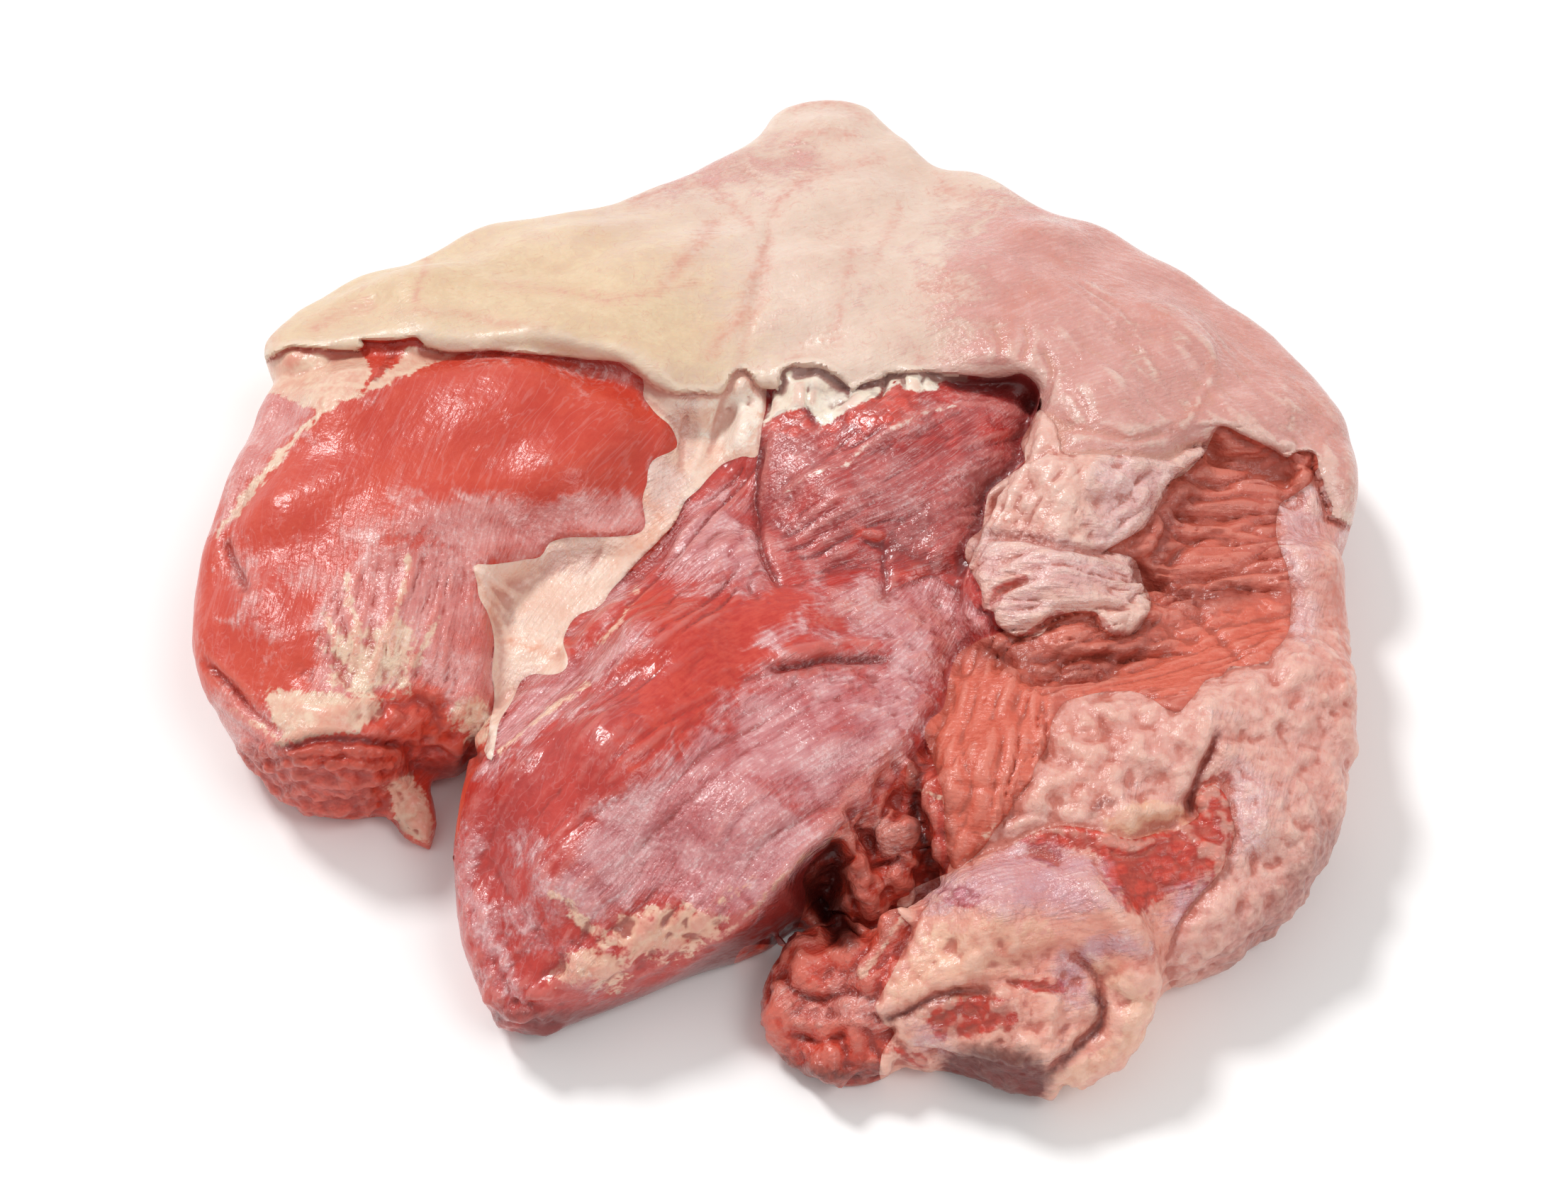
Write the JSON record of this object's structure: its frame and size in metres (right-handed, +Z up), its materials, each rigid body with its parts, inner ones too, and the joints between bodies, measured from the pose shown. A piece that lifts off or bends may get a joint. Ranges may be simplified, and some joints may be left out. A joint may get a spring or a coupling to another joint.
{
  "type": "raw beef brisket",
  "caption": "Whole boneless brisket of raw beef laid out flat: rounded lean muscles and a folded flap under a broad fat cover that tapers to a far tip.",
  "frame": {"origin": "centre of the bounding box in plan, on the plane that the meat lies on", "axes": "+Z up from the table, +Y towards the far tip of the fat cover, +X to the right seen from the near, lean side"},
  "size_m": [0.4634, 0.5092, 0.0817],
  "materials": {
    "meat": "wet raw beef: red lean with a silvery membrane, cream and pink fat"
  },
  "bodies": {
    "root": {"brisket": "meat"}
  },
  "joints": []
}
